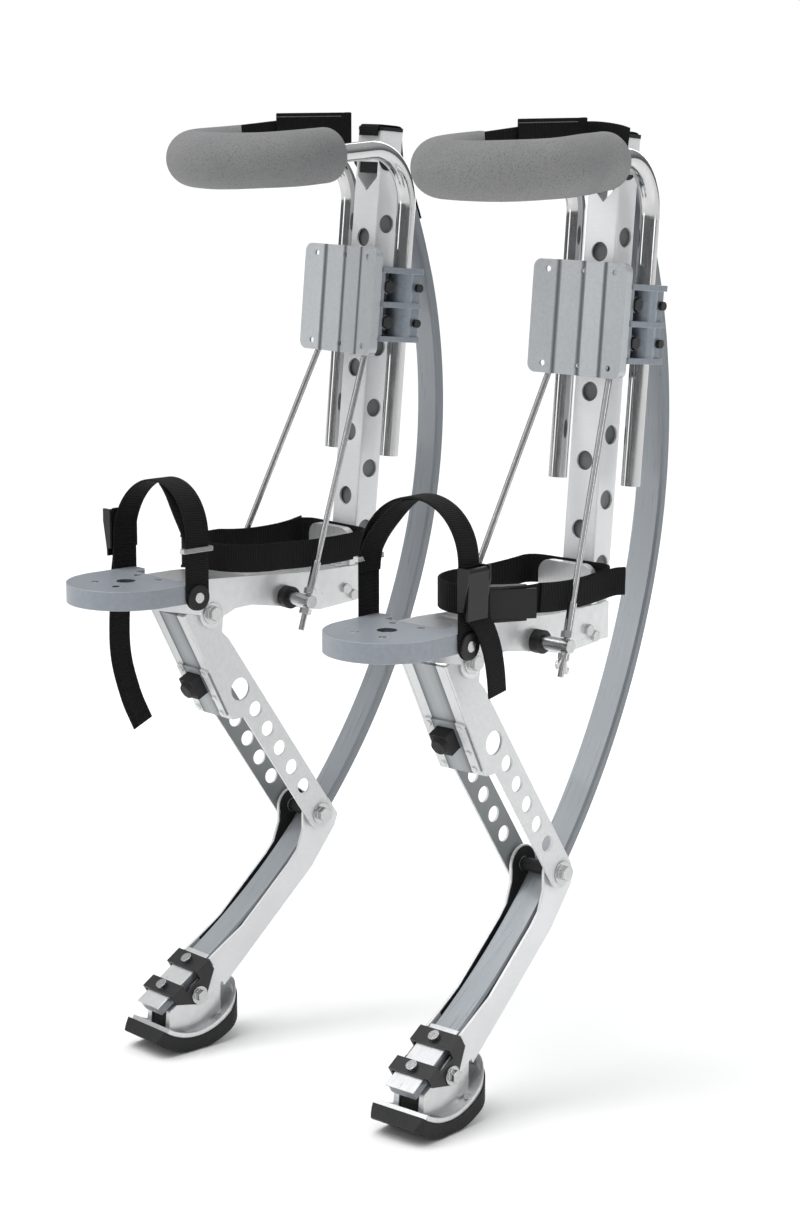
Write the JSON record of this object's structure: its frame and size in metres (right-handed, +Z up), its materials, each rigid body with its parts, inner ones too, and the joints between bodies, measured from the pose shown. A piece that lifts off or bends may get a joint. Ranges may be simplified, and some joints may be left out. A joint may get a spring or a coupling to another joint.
{
  "type": "jumping stilts",
  "caption": "Pair of spring-loaded jumping stilts with bowed leaf springs, padded knee loops, strapped foot plates and rubber hooves",
  "frame": {"origin": "on the ground midway between the two stilts, below the calf plates", "axes": "+X to the wearer's left, -Y to the toes, +Z up"},
  "size_m": [0.5428, 0.5125, 0.9971],
  "materials": {
    "white_alloy": "white powder coat, satin",
    "bright_alloy": "brushed and polished",
    "grey_cast": "grey metallic paint, satin",
    "spring_grey": "grey lacquered glass-fibre blade",
    "chromed_tube": "bright plated tube",
    "steel": "plated fasteners",
    "foam": "closed-cell grey foam, matte",
    "webbing": "black woven webbing",
    "black_rubber": "matte rubber",
    "black_plastic": "moulded, satin",
    "black_metal": "black coated"
  },
  "bodies": {
    "frames": {"left_upright": "white_alloy", "right_upright": "white_alloy", "left_calf_plate": "grey_cast", "right_calf_plate": "grey_cast", "left_tube_clamps": "grey_cast", "right_tube_clamps": "grey_cast", "left_spring": "spring_grey", "right_spring": "spring_grey", "left_foot_frame": "bright_alloy", "right_foot_frame": "bright_alloy", "left_toe_plate": "grey_cast", "right_toe_plate": "grey_cast", "left_toe_strap": "webbing", "right_toe_strap": "webbing", "left_ankle_strap": "webbing", "right_ankle_strap": "webbing", "left_pivot_bolt": "steel", "right_pivot_bolt": "steel", "top_caps": "black_plastic", "heel_plates": "bright_alloy", "cross_shafts": "steel", "shaft_bushes": "black_plastic", "tie_rods": "steel", "clamp_screws": "black_metal", "toe_screws": "steel", "strap_fittings": "steel", "heel_bolts": "steel", "buckle_bodies": "black_plastic", "rod_nuts": "steel"},
    "left_bar": {"left_knee_bar": "chromed_tube", "left_foam_grip": "foam", "left_knee_strap": "webbing"},
    "left_lever_arm": {"left_lever": "white_alloy", "left_bumper_bracket": "bright_alloy", "left_bumper": "black_rubber", "left_knee_bolt": "steel"},
    "left_shank": {"left_lower_leg": "white_alloy", "left_shim_plate": "bright_alloy", "left_spring_clamp": "black_metal", "left_hoof_screws": "steel", "left_hoof_shoe": "bright_alloy", "left_hoof_sole": "black_rubber"},
    "left_toe_cam": {"left_toe_lever": "black_plastic"},
    "left_ankle_cam": {"left_ankle_lever": "black_plastic"},
    "right_bar": {"right_knee_bar": "chromed_tube", "right_foam_grip": "foam", "right_knee_strap": "webbing"},
    "right_lever_arm": {"right_lever": "white_alloy", "right_bumper_bracket": "bright_alloy", "right_bumper": "black_rubber", "right_knee_bolt": "steel"},
    "right_shank": {"right_lower_leg": "white_alloy", "right_shim_plate": "bright_alloy", "right_spring_clamp": "black_metal", "right_hoof_screws": "steel", "right_hoof_shoe": "bright_alloy", "right_hoof_sole": "black_rubber"},
    "right_toe_cam": {"right_toe_lever": "black_plastic"},
    "right_ankle_cam": {"right_ankle_lever": "black_plastic"}
  },
  "joints": [
    {"name": "left_bar_height", "type": "slide", "parent": "frames", "child": "left_bar", "axis": [-0.0061, 0.0944, 0.9955], "range_m": [-0.045, 0.06]},
    {"name": "left_lever_swing", "type": "hinge", "parent": "frames", "child": "left_lever_arm", "pos_m": [0.17878, -0.18934, 0.478], "axis": [0.9979, 0.0645, 0], "range_deg": [0, 16], "stiffness_Nm_per_rad": 500, "deforming": ["left_spring"]},
    {"name": "left_knee", "type": "hinge", "parent": "left_lever_arm", "child": "left_shank", "pos_m": [0.16903, -0.03865, 0.23], "axis": [0.9979, 0.0645, 0], "range_deg": [-44, 0]},
    {"name": "left_toe_cam_hinge", "type": "hinge", "parent": "frames", "child": "left_toe_cam", "pos_m": [0.25424, -0.22654, 0.578], "axis": [0.0645, -0.9979, 0], "range_deg": [0, 85]},
    {"name": "left_ankle_cam_hinge", "type": "hinge", "parent": "frames", "child": "left_ankle_cam", "pos_m": [0.21651, -0.16657, 0.533], "axis": [0, 0, -1], "range_deg": [0, 75]},
    {"name": "right_bar_height", "type": "slide", "parent": "frames", "child": "right_bar", "axis": [0.0061, 0.0944, 0.9955], "range_m": [-0.045, 0.06]},
    {"name": "right_lever_swing", "type": "hinge", "parent": "frames", "child": "right_lever_arm", "pos_m": [-0.17878, -0.20584, 0.478], "axis": [0.9979, -0.0645, 0], "range_deg": [0, 16], "stiffness_Nm_per_rad": 500, "deforming": ["right_spring"]},
    {"name": "right_knee", "type": "hinge", "parent": "right_lever_arm", "child": "right_shank", "pos_m": [-0.16903, -0.05515, 0.23], "axis": [0.9979, -0.0645, 0], "range_deg": [-44, 0]},
    {"name": "right_toe_cam_hinge", "type": "hinge", "parent": "frames", "child": "right_toe_cam", "pos_m": [-0.25424, -0.24305, 0.578], "axis": [0.0645, 0.9979, 0], "range_deg": [0, 85]},
    {"name": "right_ankle_cam_hinge", "type": "hinge", "parent": "frames", "child": "right_ankle_cam", "pos_m": [-0.21651, -0.18307, 0.533], "axis": [0, 0, 1], "range_deg": [0, 75]}
  ],
  "couplings": [
    {"joint": "left_knee", "follows": "left_lever_swing", "ratio": -2.75},
    {"joint": "right_knee", "follows": "right_lever_swing", "ratio": -2.75}
  ]
}
